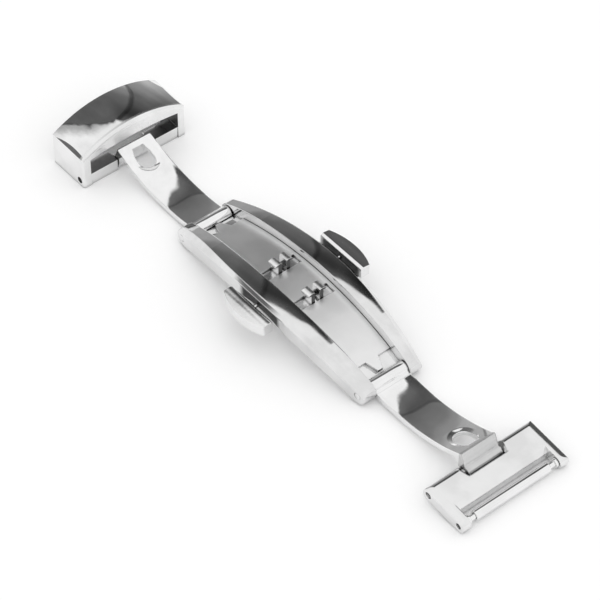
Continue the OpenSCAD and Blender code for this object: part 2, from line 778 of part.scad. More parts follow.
// Side view of the strap end: a flat bar with round edges
module strap_end_side() {
    circle(strap_end_r);
    translate([0, -strap_end_r]) square([strap_end_l, 2 * strap_end_r]);
    translate([strap_end_l, 0]) circle(strap_end_r);
}

// The bevel along the upper edge of the strap gap, seen from the side
module gap_bevel_side() {
    polygon([[strap_wall_u - gap_bevel_w, strap_end_r], [strap_wall_u, strap_end_r - gap_bevel_w],
             [strap_wall_u + 1, strap_end_r - gap_bevel_w], [strap_wall_u + 1, strap_end_r + 1],
             [strap_wall_u - gap_bevel_w, strap_end_r + 1]]);
}

// The bevel along the far upper edge of the arm's notch, wider towards the arm
module notch_bevel() {
    depth = notch_half / 2;
    translate([notch_u, notch_half + notch_bevel_w, strap_end_r]) rotate([0, 0, -notch_bevel_turn])
        along_x(-far, 0) polygon([[-depth, -depth], [-depth, 1], [0, 1], [0, 0]]);
}

// Everything above the bevel along the far upper edge
module end_edge_bevel() {
    translate([0, end_half - end_edge_w, strap_end_r]) rotate([-end_edge_slope, 0, 0])
        translate([-far / 2, 0, 0]) cube([far, far, far]);
}

module strap_end() {
    color(steel) centred() at_strap_end() difference() {
        along_y(-end_half, end_half) strap_end_side();
        translate([strap_wall_u, -strap_half, -far / 2]) cube([far, 2 * strap_half, far]);
        translate([-far, -notch_half, -far / 2]) cube([far + notch_u, 2 * notch_half, far]);
        along_y(-strap_half, strap_half) gap_bevel_side();
        for (s = [0, 1]) mirror([0, s, 0]) {
            notch_bevel();
            end_edge_bevel();
        }
        round_y(arm_pin_r, -far, far);
        translate([strap_end_l, 0, 0]) round_y(tip_r + tip_gap, -far, far);
    }
}

module strap_end_pin() {
    color(steel) centred() at_strap_end() arm_pin();
}

// Places a shape that is drawn about the cover's strap bar
module at_cover_bar() {
    translate([cover_x - cover_bar_u, 0, cover_bar_z]) children();
}

// Places a shape that is drawn about the strap end's strap bar
module at_strap_bar() {
    at_strap_end() translate([strap_end_l, 0, 0]) children();
}

// The tube of a spring bar, with its ends rolled in round the tips
module bar_tube() {
    difference() {
        round_y(tube_r, -tube_half, tube_half);
        round_y(tube_bore_r, -tube_half + tube_lip, tube_half - tube_lip);
        round_y(tip_r + tip_gap, -far, far);
    }
}

// The far tip of a spring bar: point, flange, neck and guide
module bar_tip() {
    round_y(tip_r, bar_spring_half, tip_end_y);
    round_y(flange_r, flange_y, flange_y + flange_t);
    round_y(tube_bore_r - guide_gap, bar_spring_half, guide_y);
}

module bar_spring() {
    translate([0, -bar_spring_half, 0])
        coil(tube_bore_r - guide_gap, bar_wire_r, bar_turns, 2 * bar_spring_half);
}

module cover_bar_tube() {
    color(steel) centred() at_cover_bar() bar_tube();
}

module cover_bar_tip_near() {
    color(steel) centred() at_cover_bar() mirror([0, 1, 0]) bar_tip();
}

module cover_bar_tip_far() {
    color(steel) centred() at_cover_bar() bar_tip();
}

module cover_bar_spring() {
    color(wire) centred() at_cover_bar() bar_spring();
}

module strap_bar_tube() {
    color(steel) centred() at_strap_bar() bar_tube();
}

module strap_bar_tip_near() {
    color(steel) centred() at_strap_bar() mirror([0, 1, 0]) bar_tip();
}

module strap_bar_tip_far() {
    color(steel) centred() at_strap_bar() bar_tip();
}

module strap_bar_spring() {
    color(wire) centred() at_strap_bar() bar_spring();
}

base_frame();
top_plate();
left_hinge_pin();
right_hinge_pin();
latch_slider_near();
latch_slider_far();
button_near();
button_far();
button_pin_near();
button_pin_far();
latch_spring_near();
latch_spring_far();
left_arm();
right_arm();
cover();
cover_pin();
strap_end();
strap_end_pin();
cover_bar_tube();
cover_bar_tip_near();
cover_bar_tip_far();
cover_bar_spring();
strap_bar_tube();
strap_bar_tip_near();
strap_bar_tip_far();
strap_bar_spring();
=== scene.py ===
"""Looks of a butterfly deployant clasp for an 18 mm watch strap, lying open on a pale floor.

Metres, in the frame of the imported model: X along the strap, Y across it, Z up.
"""
import logging
import math
from dataclasses import dataclass
from enum import Enum
from typing import Union

import bmesh
import bpy
from mathutils import Matrix, Vector


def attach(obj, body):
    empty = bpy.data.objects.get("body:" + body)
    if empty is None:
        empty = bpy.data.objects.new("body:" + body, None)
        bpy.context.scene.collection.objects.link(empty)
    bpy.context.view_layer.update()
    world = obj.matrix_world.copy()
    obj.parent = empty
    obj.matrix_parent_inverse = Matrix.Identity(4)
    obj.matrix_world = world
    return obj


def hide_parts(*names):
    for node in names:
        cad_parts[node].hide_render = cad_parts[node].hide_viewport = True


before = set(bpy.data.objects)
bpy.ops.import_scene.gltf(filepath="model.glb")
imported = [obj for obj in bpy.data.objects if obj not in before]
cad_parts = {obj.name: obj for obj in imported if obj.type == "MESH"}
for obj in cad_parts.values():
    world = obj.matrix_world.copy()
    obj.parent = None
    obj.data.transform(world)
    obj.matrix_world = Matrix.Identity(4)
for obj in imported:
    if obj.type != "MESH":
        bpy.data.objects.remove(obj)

LOG = logging.getLogger("clasp")
MM = 0.001
MIDDLE_X = -0.369574  # middle of the base frame along the strap, in mm
ROUND_STEPS = 6  # steps in the quarter round at the end of a turned piece
AO_SAMPLES = 6
EDGE_SAMPLES = 8

Value = Union[float, tuple, "Socket"]


class Grain(Enum):
    """Direction that a surface is brushed in, as the scale of its noise along X, Y and Z."""

    ALONG = (0.05, 1.0, 1.0)
    ACROSS = (1.0, 0.05, 1.0)


class Pattern(Enum):
    """Noises: cells per metre (in the room, per unit), octaves, and share of the finer octaves."""

    CLOUDS = (180.0, 3.0, 0.5)
    MARKS = (2600.0, 4.0, 0.5)
    HAIRLINES = (9000.0, 4.0, 0.65)
    GRINDING = (2600.0, 3.0, 0.6)
    STREAKS = (1800.0, 2.0, 0.5)
    ROOM_CLOUDS = (9.0, 3.0, 0.6)
    ROOM_FRAY = (16.0, 3.0, 0.6)


class Side(Enum):
    """The two halves of the clasp across its width, as the sign of Y."""

    NEAR = -1
    FAR = 1

    @property
    def word(self) -> str:
        """The side's name in the names of the pieces."""
        return self.name.lower()


class Slot(Enum):
    """The record's material slots, one of which each built piece carries."""

    PIN = "pin_steel"
    BAR = "bar_steel"
    WIRE = "spring_wire"
    POLISHED = "polished_steel"


class Graph:
    """A node tree that shader expressions are written into."""

    def __init__(self, tree: bpy.types.NodeTree) -> None:
        """Empties the tree and keeps it."""
        self.tree = tree
        self.tree.nodes.clear()

    def node(self, kind: str, settings: dict | None = None,
             inputs: dict | None = None) -> bpy.types.Node:
        """Adds one node.

        Args:
            kind: the node's type, such as ShaderNodeBump.
            settings: its properties, which are set first.
            inputs: values or Sockets for its input sockets, by name or number.

        Returns:
            The new node.
        """
        made = self.tree.nodes.new(kind)
        for name, value in (settings or {}).items():
            setattr(made, name, value)
        for name, value in (inputs or {}).items():
            if isinstance(value, Socket):
                self.tree.links.new(value.link, made.inputs[name])
            else:
                made.inputs[name].default_value = value
        return made

    def out(self, kind: str, output: str | int = 0, settings: dict | None = None,
            inputs: dict | None = None) -> "Socket":
        """Adds one node and gives one of its outputs, by name or number."""
        return Socket(self, self.node(kind, settings, inputs).outputs[output])

    def place(self) -> "Socket":
        """The point on the surface, in metres from the object's origin."""
        return self.out("ShaderNodeTexCoord", "Object")

    def split(self, vector: "Socket") -> list["Socket"]:
        """The three parts of a vector."""
        parts = self.node("ShaderNodeSeparateXYZ", None, {0: vector})
        return [Socket(self, parts.outputs[i]) for i in range(3)]

    def split_mm(self, at: "Socket") -> list["Socket"]:
        """The three parts of a place, in mm."""
        return self.split(at * (1 / MM, 1 / MM, 1 / MM))

    def facing(self) -> list["Socket"]:
        """The three parts of the direction that the bare surface faces."""
        return self.split(self.out("ShaderNodeNewGeometry", "True Normal"))

    def noise(self, at: "Socket", scale: float, octaves: float = 1.0,
              share: float = 0.5) -> "Socket":
        """Noise about 0.5, of scale cells per unit, with share as the finer octaves' weight."""
        return self.out("ShaderNodeTexNoise", "Fac", None,
                        {"Vector": at, "Scale": scale, "Detail": octaves, "Roughness": share})

    def mix(self, factor: Value, a: tuple, b: tuple) -> "Socket":
        """Blends two colours: a where factor is 0, b where it is 1."""
        return self.out("ShaderNodeMix", 2, {"data_type": "RGBA"}, {0: factor, 6: a, 7: b})


@dataclass(frozen=True)
class Socket:
    """An output of a node, which takes part in arithmetic."""

    graph: Graph
    link: bpy.types.NodeSocket

    def math(self, operation: str, *others: Value, first: Value | None = None) -> "Socket":
        """Adds one Math node, or a Vector Math node where the socket is a vector.

        Args:
            operation: the node's operation.
            others: the values after this socket.
            first: what stands before this socket, for reflected forms.

        Returns:
            The result.
        """
        kind = "ShaderNodeVectorMath" if self.link.type == "VECTOR" else "ShaderNodeMath"
        terms = [self, *others] if first is None else [first, self, *others]
        return self.graph.out(kind, 0, {"operation": operation}, dict(enumerate(terms)))

    def __add__(self, other: Value) -> "Socket":
        """self + other."""
        return self.math("ADD", other)

    __radd__ = __add__

    def __sub__(self, other: Value) -> "Socket":
        """self - other."""
        return self.math("SUBTRACT", other)

    def __rsub__(self, other: Value) -> "Socket":
        """other - self."""
        return self.math("SUBTRACT", first=other)

    def __mul__(self, other: Value) -> "Socket":
        """self * other."""
        return self.math("MULTIPLY", other)

    __rmul__ = __mul__

    def __abs__(self) -> "Socket":
        """The distance from zero."""
        return self.math("ABSOLUTE")

    def hypot(self, other: "Socket") -> "Socket":
        """The long side of a right triangle with legs self and other."""
        return (self * self + other * other).math("SQRT")

    def ramp(self, low: float, high: float) -> "Socket":
        """A smooth step.

        Args:
            low: value that gives 0.
            high: value that gives 1.

        Returns:
            The step, from 0 to 1.
        """
        if low > high:
            return 1.0 - self.ramp(high, low)
        return self.graph.out("ShaderNodeMapRange", 0, {"interpolation_type": "SMOOTHSTEP"},
                              {"Value": self, "From Min": low, "From Max": high})


def stepped(start: float, steps: tuple, along: Socket) -> Socket:
    """A level that changes in smooth steps.

    Args:
        start: the level before the first step.
        steps: (change, low, high) of each step.
        along: what the steps are counted along.

    Returns:
        The level.
    """
    level = start
    for change, low, high in steps:
        level = level + change * along.ramp(low, high)
    return level


@dataclass(frozen=True)
class Crown:
    """The slight roundness across the clasp that polishing leaves on a flat face.

    The face is level at middle, in mm from the centre line, and tilts by tilt degrees at reach mm
    from there. Lean is a tilt of the whole face towards +Y, in degrees.
    """

    middle: float
    reach: float
    tilt: float
    power: int
    lean: float = 0.0

    def drop(self, graph: Graph, at: Socket) -> Socket:
        """How far the face has dropped at each place.

        Args:
            graph: the material's node tree.
            at: where on the surface.

        Returns:
            The drop in mm.
        """
        y = graph.split_mm(at)[1]
        away = abs(abs(y) - self.middle)
        steep = math.tan(math.radians(self.tilt)) / (self.power * self.reach ** (self.power - 1))
        return (steep * away.math("POWER", float(self.power))
                + math.tan(math.radians(self.lean)) * y)


@dataclass(frozen=True)
class SteelFinish:
    """A steel surface: tone and gloss, waves, marks or a grain, soft edges and painted shade in
    corners.

    Lengths are in mm. The veil is the share that fine scratches scatter. Each pair of levels is
    where its effect begins and where it is full: in the clouds of noise, or in the open sky that
    a place sees.
    """

    name: str
    tone: float
    roughness: float
    smudge: float = 0.05
    smudge_levels: tuple = (0.5, 0.75)
    mottle: float = 0.06
    mottle_levels: tuple = (0.65, 0.35)
    wave: float = 0.10
    wave_size: float = 9.0
    marks: float = 0.0012
    grain: Grain | None = None
    grain_depth: float = 0.0
    grain_gloss: float = 0.14
    edge: float = 0.08
    painted_shade: float = 0.55
    painted_shade_reach: float = 0.6
    painted_shade_levels: tuple = (0.75, 0.25)
    crown: Crown | None = None
    veil: float = 0.0

    def surface(self, graph: Graph, at: Socket) -> tuple[Socket, Socket, Socket]:
        """Works out how the surface differs from place to place.

        Args:
            graph: the material's node tree.
            at: where on the surface.

        Returns:
            The tone, from 0 to 1 of the finish's own, the roughness and the normal.
        """
        cloud = graph.noise(at, *Pattern.CLOUDS.value)
        # painted shade: the colour darkens where ambient occlusion finds corners, gaps and crevices
        open_sky = graph.out("ShaderNodeAmbientOcclusion", "AO", {"samples": AO_SAMPLES},
                             {"Distance": self.painted_shade_reach * MM})
        tone = ((1.0 - self.mottle * cloud.ramp(*self.mottle_levels))
                * (1.0 - self.painted_shade * open_sky.ramp(*self.painted_shade_levels)))
        rough = self.roughness + self.smudge * cloud.ramp(*self.smudge_levels)
        height = self.wave * graph.noise(at, 1.0 / (self.wave_size * MM))
        if self.grain is None:
            height = height + self.marks * graph.noise(at, *Pattern.MARKS.value)
        else:
            lines = graph.noise(at * self.grain.value, *Pattern.HAIRLINES.value)
            height = height + self.grain_depth * lines
            rough = rough + self.grain_gloss * (lines - 0.5)
        if self.crown is not None:
            height = height - self.crown.drop(graph, at)
        soft = graph.out("ShaderNodeBevel", 0, {"samples": EDGE_SAMPLES},
                         {"Radius": self.edge * MM})
        normal = graph.out("ShaderNodeBump", 0, None, {"Strength": 1.0, "Distance": MM,
                                                       "Height": height, "Normal": soft})
        return tone, rough, normal

    def make(self) -> bpy.types.Material:
        """Builds the material.

        Returns:
            The new material.
        """
        material = bpy.data.materials.new(self.name)
        material.use_nodes = True
        graph = Graph(material.node_tree)
        at = graph.place()
        tone, rough, normal = self.surface(graph, at)
        tone, rough = self.worked_and_shaded(graph, at, tone, rough)
        colour = graph.mix(tone, (0, 0, 0, 1), (self.tone, self.tone, self.tone, 1))
        shader = graph.out("ShaderNodeBsdfPrincipled", 0, None,
                           {"Base Color": colour, "Metallic": 1.0 - self.veil,
                            "Roughness": rough, "Normal": normal})
        graph.node("ShaderNodeOutputMaterial", None, {"Surface": shader})
        return material

    def worked_and_shaded(self, graph: Graph, at: Socket, tone: Socket,
               rough: Socket) -> tuple[Socket, Socket]:
        """Leaves the surface as it is; a finish with painted shade or ground places changes them
        here.
        """
        return tone, rough


@dataclass(frozen=True)
class CoverFinish(SteelFinish):
    """Polished steel whose inner faces, above and behind the pin blocks, are dull and painted dark
    as shade.

    The hollow's ceiling drops by ceiling_drop at ceiling_reach from the centre line. The brow, the
    front face above front_foot, is a little dull too. Sizes in mm, along the clasp from middle.
    """

    middle: float = -44.163
    inner_half: float = 9.03
    ceiling: float = 6.23
    ceiling_drop: float = 0.65
    ceiling_reach: float = 9.0
    block_back: float = -1.2
    block_top: float = 2.36
    inner_fade: float = 0.02
    block_fade: float = 0.04
    shaded_tone: float = 0.22
    raw_roughness: float = 0.45
    front: float = 0.1
    front_fade: float = 0.4
    front_foot: float = 5.6
    front_foot_fade: float = 0.3
    front_roughness: float = 0.24

    def worked_and_shaded(self, graph: Graph, at: Socket, tone: Socket,
               rough: Socket) -> tuple[Socket, Socket]:
        """Dulls the inner faces and the brow, and paints shade on the inner faces.

        Args:
            graph: the material's node tree.
            at: where on the surface.
            tone: the polished tone.
            rough: the polished roughness.

        Returns:
            Tone and roughness with the dull inner faces and their painted shade.
        """
        x, y, z = graph.split_mm(at)
        bend = self.ceiling_drop / self.ceiling_reach ** 2
        under = (self.ceiling - bend * (y * y) - z).ramp(0.0, self.inner_fade)
        between = (self.inner_half - abs(y)).ramp(0.0, self.inner_fade)
        off_block = (z - self.block_top).ramp(0.0, self.block_fade).math(
            "MAXIMUM", (self.middle + self.block_back - x).ramp(0.0, self.block_fade))
        # painted shade: inner faces under the ceiling and off the blocks are dull and darkened in
        # colour
        dull_and_shaded = under * between * off_block
        brow = ((x - (self.middle + self.front)).ramp(0.0, self.front_fade)
                * (z - self.front_foot).ramp(0.0, self.front_foot_fade) * (1.0 - dull_and_shaded))
        rough = (rough + (self.raw_roughness - self.roughness) * dull_and_shaded
                 + (self.front_roughness - self.roughness) * brow)
        return tone * (1.0 - (1.0 - self.shaded_tone) * dull_and_shaded), rough


@dataclass(frozen=True)
class ArmFinish(SteelFinish):
    """Polished sheet, with grinding marks left on the knuckle that carries the strap end.

    The knuckle begins at x = knuckle, in mm. Its marks take between the first of marks_share and
    the sum of both of the tone that it loses.
    """

    knuckle: float = 41.9
    knuckle_fade: float = 0.2
    knuckle_tone: float = 0.72
    knuckle_roughness: float = 0.24
    marks_share: tuple = (0.6, 0.8)

    def worked_and_shaded(self, graph: Graph, at: Socket, tone: Socket,
               rough: Socket) -> tuple[Socket, Socket]:
        """Grinds the knuckle.

        Args:
            graph: the material's node tree.
            at: where on the surface.
            tone: the polished tone.
            rough: the polished roughness.

        Returns:
            Tone and roughness with the ground knuckle.
        """
        ground = graph.split_mm(at)[0].ramp(self.knuckle, self.knuckle + self.knuckle_fade)
        lines = graph.noise(at * Grain.ACROSS.value, *Pattern.GRINDING.value)
        lost = (1.0 - self.knuckle_tone) * (self.marks_share[0] + self.marks_share[1] * lines)
        return (tone * (1.0 - lost * ground),
                rough + (self.knuckle_roughness - self.roughness) * ground)


@dataclass(frozen=True)
class FlankFinish(SteelFinish):
    """Polished steel, dull and painted dark as shade where the frame and a button face each other.
    Sizes in mm.

    The shaded faces look across the clasp. They lie between the two depths of reach from its centre
    line, at most half from x along it, and they fade out towards that limit.
    """

    x: float = MIDDLE_X
    half: float = 5.2
    fade: float = 1.2
    reach: tuple = (6.0, 9.0)
    reach_fades: tuple = (0.1, 0.05)
    across: tuple = (0.9, 0.97)
    shaded_tone: float = 0.05
    raw_roughness: float = 0.35

    def worked_and_shaded(self, graph: Graph, at: Socket, tone: Socket,
               rough: Socket) -> tuple[Socket, Socket]:
        """Paints shade on the faces where frame and button meet, and dulls them.

        Args:
            graph: the material's node tree.
            at: where on the surface.
            tone: the polished tone.
            rough: the polished roughness.

        Returns:
            Tone and roughness with the painted shade and the dull faces.
        """
        x, y, _ = graph.split_mm(at)
        across = abs(graph.facing()[1]).ramp(*self.across)
        depth = abs(y)
        between = ((depth - self.reach[0]).ramp(0.0, self.reach_fades[0])
                   * (self.reach[1] - depth).ramp(0.0, self.reach_fades[1]))
        # painted shade: the flanks that face each other are darkened in colour and made dull
        dull_and_shaded = across * between * (self.half - abs(x - self.x)).ramp(0.0, self.fade)
        return (tone * (1.0 - (1.0 - self.shaded_tone) * dull_and_shaded),
                rough + (self.raw_roughness - self.roughness) * dull_and_shaded)


@dataclass(frozen=True)
class EndShadeFinish(SteelFinish):
    """Steel whose faces towards the clasp's two ends are painted dark as shade, and rougher.

    Streaks vary the painted shade's tone, from the first of streaks to the sum of both.
    """

    along: tuple = (0.6, 0.9)
    end_shade_tone: float = 0.10
    end_face_roughness: float = 0.3
    streaks: tuple = (0.7, 0.6)
    streak_scale: tuple = (1.0, 2.5, 0.4)

    def worked_and_shaded(self, graph: Graph, at: Socket, tone: Socket,
               rough: Socket) -> tuple[Socket, Socket]:
        """Paints shade on the faces towards the ends.

        Args:
            graph: the material's node tree.
            at: where on the surface.
            tone: the tone before the painted shade.
            rough: the roughness before the end faces roughen.

        Returns:
            Tone and roughness with the painted shade on the end faces.
        """
        # painted shade: faces that look along the clasp are darkened in colour, in streaks
        skin = abs(graph.facing()[0]).ramp(*self.along)
        lines = graph.noise(at * self.streak_scale, *Pattern.STREAKS.value)
        streak = self.streaks[0] + self.streaks[1] * lines
        return (tone * (1.0 - skin) + (self.end_shade_tone * streak) * skin,
                rough + (self.end_face_roughness - self.roughness) * skin)


class Finishes:
    """Every finish of the clasp, made once."""

    def __init__(self) -> None:
        """Builds the materials."""
        self.arm = ArmFinish(
            "arm_steel", 0.90, 0.035, wave=0.16, edge=0.28, veil=0.06,
            crown=Crown(middle=0.0, reach=3.0, tilt=4.5, power=3)).make()
        self.button = FlankFinish(
            "button_steel", 0.86, 0.05, wave=0.03, edge=0.06, veil=0.02).make()
        self.block = SteelFinish("block_steel", 0.86, 0.05, painted_shade=0.3).make()
        self.frame = FlankFinish(
            "frame_steel", 0.80, 0.06, mottle=0.1, wave=0.12, edge=0.25, painted_shade=0.75,
            painted_shade_reach=0.9, crown=Crown(middle=5.4, reach=1.3, tilt=3.8, power=2, lean=1.3)).make()
        self.strap_end = SteelFinish(
            "strap_end_steel", 0.83, 0.06, mottle=0.1, edge=0.25, painted_shade=0.7).make()
        self.cover = CoverFinish(
            "cover_steel", 0.87, 0.035, mottle=0.08, wave=0.06, painted_shade=0.85, painted_shade_reach=1.5).make()
        self.brushed = SteelFinish(
            "brushed_steel", 0.88, 0.37, wave=0.05, grain=Grain.ALONG, grain_depth=0.003,
            painted_shade=0.6, painted_shade_reach=1.6).make()
        self.slider = EndShadeFinish(
            "slider_steel", 0.86, 0.22, edge=0.14, painted_shade=0.9, painted_shade_reach=0.8).make()
        self.pin = SteelFinish(
            "pin_steel", 0.82, 0.12, edge=0.04, painted_shade=0.9, painted_shade_reach=1.0).make()
        self.bar = SteelFinish("bar_steel", 0.88, 0.08, wave=0.02, edge=0.05).make()
        self.wire = SteelFinish("spring_wire", 0.70, 0.22, wave=0.0, edge=0.02).make()


def put_finish(name: str, finish: bpy.types.Material) -> None:
    """Gives a CAD node its finish.

    Args:
        name: the node.
        finish: its material.
    """
    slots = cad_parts[name].data.materials
    slots.clear()
    slots.append(finish)
    LOG.info("%s keeps its shape, in %s", name, finish.name)


def skin(rings: int, count: int) -> list:
    """Wraps a solid that is given as rings of corners.

    Args:
        rings: how many rings it has.
        count: how many corners each ring has.

    Returns:
        The faces between the rings, and a cap at either end.
    """
    faces = [(i * count + k, i * count + (k + 1) % count,
              (i + 1) * count + (k + 1) % count, (i + 1) * count + k)
             for i in range(rings - 1) for k in range(count)]
    last = (rings - 1) * count
    return [*faces, tuple(range(count)), tuple(range(last, last + count))]


@dataclass
class Workpiece:
    """A steel piece built as a mesh, on body. It stands for a CAD node where node names one."""

    name: str
    body: str
    slot: Slot
    node: str | None = None
    sharp_angle: float = 32.0
    rounding: float = 0.0
    rounding_steps: int = 3

    def points(self) -> tuple[list, list]:
        """The mesh's vertices in mm and its faces; each kind of piece has its own."""
        raise NotImplementedError

    def make(self, finish: bpy.types.Material) -> None:
        """Makes the object, in place.

        Args:
            finish: its material.
        """
        corners, faces = self.points()
        mesh = bpy.data.meshes.new(self.name)
        mesh.from_pydata([tuple(v * MM for v in c) for c in corners], [], faces)
        work = bmesh.new()
        work.from_mesh(mesh)
        bmesh.ops.recalc_face_normals(work, faces=work.faces)
        work.to_mesh(mesh)
        work.free()
        mesh.shade_smooth()
        mesh.set_sharp_from_angle(angle=math.radians(self.sharp_angle))
        mesh.materials.append(finish)
        piece = bpy.data.objects.new(self.name, mesh)
        bpy.context.scene.collection.objects.link(piece)
        if self.rounding > 0:
            edges = piece.modifiers.new("rounding", "BEVEL")
            edges.width, edges.segments = self.rounding * MM, self.rounding_steps
            edges.angle_limit = math.radians(self.sharp_angle)
            edges.harden_normals = True
        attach(piece, self.body)
        if self.node is not None:
            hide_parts(self.node)
        LOG.info("%s: %d faces, on %s, in %s", self.name, len(faces), self.body, finish.name)


@dataclass
class Turned(Workpiece):
    """A piece turned about an axis across the clasp, at (x, z).

    Its profile is (y, radius) points in mm. A hollow piece has a profile that closes on itself.
    """

    at: tuple = (0.0, 0.0)
    profile: tuple = ()
    hollow: bool = False
    facets: int = 64

    def points(self) -> tuple[list, list]:
        """The rings of the profile, and the faces between them.

        Returns:
            Vertices in mm and faces.
        """
        corners, rings = [], []
        for y, r in self.profile:
            turns = [2 * math.pi * k / self.facets for k in range(self.facets)] if r > 0 else [0.0]
            rings.append(range(len(corners), len(corners) + len(turns)))
            corners += [(self.at[0] + r * math.cos(a), y, self.at[1] + r * math.sin(a))
                        for a in turns]
        pairs = list(zip(rings, rings[1:])) + ([(rings[-1], rings[0])] if self.hollow else [])
        faces = []
        for one, two in pairs:
            for k in range(self.facets):
                n = (k + 1) % self.facets
                loop = [one[k % len(one)], one[n % len(one)], two[n % len(two)], two[k % len(two)]]
                faces.append(tuple(dict.fromkeys(loop)))
        return corners, faces


@dataclass
class Coil(Workpiece):
    """A coil spring about an axis across the clasp, at (x, z), from start to end along Y, in mm."""

    at: tuple = (0.0, 0.0)
    start: float = 0.0
    end: float = 1.0
    radius: float = 0.5
    wire: float = 0.1
    turns: int = 8
    steps: int = 28
    facets: int = 10

    def points(self) -> tuple[list, list]:
        """The wire's rings along the helix, closed by two caps.

        Returns:
            Vertices in mm and faces.
        """
        way = 1.0 if self.end > self.start else -1.0
        middle = self.radius - self.wire
        pitch = (self.end - self.start - 2 * way * self.wire) / self.turns
        lean = math.atan2(pitch, 2 * math.pi * middle)
        rings = self.turns * self.steps + 1
        corners = []
        for i in range(rings):
            a = 2 * math.pi * i / self.steps
            out = Vector((math.cos(a), 0, math.sin(a)))
            along = Vector((-math.sin(a), 0, math.cos(a)))
            across = Vector((0, math.cos(lean), 0)) - along * math.sin(lean)
            y = self.start + way * self.wire + pitch * i / self.steps
            centre = Vector((self.at[0], y, self.at[1]))
            for k in range(self.facets):
                b = 2 * math.pi * k / self.facets
                corners.append(tuple(centre + out * (middle + self.wire * math.cos(b))
                                     + across * (self.wire * math.sin(b))))
        return corners, skin(rings, self.facets)


@dataclass
class Prism(Workpiece):
    """A piece with one side view all the way across the clasp, its edges broken by a small bevel.

    The outline is (x, z) points in mm from the place at, and span is its lowest and highest Y.
    """

    at: tuple = (0.0, 0.0)
    outline: tuple = ()
    span: tuple = (0.0, 1.0)
    break_edge: float = 0.08

    def points(self) -> tuple[list, list]:
        """The outline drawn from one side to the other, with its ends drawn in a little.

        Returns:
            Vertices in mm and faces.
        """
        n = len(self.outline)
        middle = [sum(p[i] for p in self.outline) / n for i in range(2)]
        (low, high), e = self.span, self.break_edge
        rings = ((low, e), (low + e, 0.0), (high - e, 0.0), (high, e))
        corners = []
        for y, inset in rings:
            for x, z in self.outline:
                pull = [inset * (1 if middle[0] > x else -1), inset * (1 if middle[1] > z else -1)]
                corners.append((self.at[0] + x + pull[0], y, self.at[1] + z + pull[1]))
        return corners, skin(len(rings), n)


@dataclass
class Key(Workpiece):
    """A push button: flat back, a slope that rises from it, a crowned top and a bowed front.

    Sizes in mm. Depths count from the clasp's centre line, and side turns them to its near or far
    half. The slope is (depth, height). Lean is the fall of the top outwards from its ridge, and
    roll the turn of the whole top towards +Y, in degrees.
    """

    side: Side = Side.FAR
    x: float = MIDDLE_X
    half: float = 5.04
    back: float = 8.92
    shoulder: float = 10.7
    front: float = 11.9
    under: float = 4.2
    top: float = 6.4
    slope: tuple = (0.5, 0.233)
    back_break: float = 0.1
    lean: float = 4.5
    roll: float = 1.0
    crown_r: float = 15.0
    columns: int = 48
    rows: int = 10

    def points(self) -> tuple[list, list]:
        """Sections of the button from its left end to its right, and the faces between them.

        Returns:
            Vertices in mm and faces.
        """
        bow = self.front - self.shoulder
        bow_r = (self.half ** 2 + bow ** 2) / (2 * bow)
        ridge = self.back + self.slope[0]
        back_top = self.top - self.slope[1]
        fall = math.tan(math.radians(self.lean + self.side.value * self.roll))
        sections = []
        for i in range(self.columns + 1):
            x = self.half * (2 * i / self.columns - 1)
            front = self.front - bow_r + math.sqrt(bow_r ** 2 - x ** 2)
            section = [(self.back, self.under), (self.back, back_top - self.back_break),
                       (self.back + self.back_break, back_top)]
            for k in range(self.rows + 1):
                y = ridge + (front - ridge) * k / self.rows
                drop = self.crown_r - math.sqrt(self.crown_r ** 2 - (y - ridge) ** 2)
                section.append((y, self.top - drop - (y - ridge) * fall))
            section.append((front, self.under))
            sections.append([(self.x + x, self.side.value * y, z) for y, z in section])
        return sum(sections, []), skin(len(sections), len(sections[0]))


def quarter_round(end: float, radius: float, bevel: float) -> list:
    """The rounded end of a turned piece.

    Args:
        end: where the piece ends along Y, in mm.
        radius: the piece's radius in mm.
        bevel: the round's own radius in mm.

    Returns:
        (y, radius) points from the piece's side to its end.
    """
    turns = [math.pi * k / (2 * ROUND_STEPS) for k in range(ROUND_STEPS + 1)]
    return [(end - bevel + bevel * math.sin(a), radius - bevel + bevel * math.cos(a))
            for a in turns]


def pin_profile(half: float, radius: float, bevel: float) -> tuple:
    """Profile of a plain pin whose ends are turned round.

    Args:
        half: half its length in mm.
        radius: its radius in mm.
        bevel: radius of the round at its ends in mm.

    Returns:
        (y, radius) points from one end to the other.
    """
    right = [*quarter_round(half, radius, bevel), (half, 0.0)]
    return tuple([(-y, r) for y, r in reversed(right)] + right)


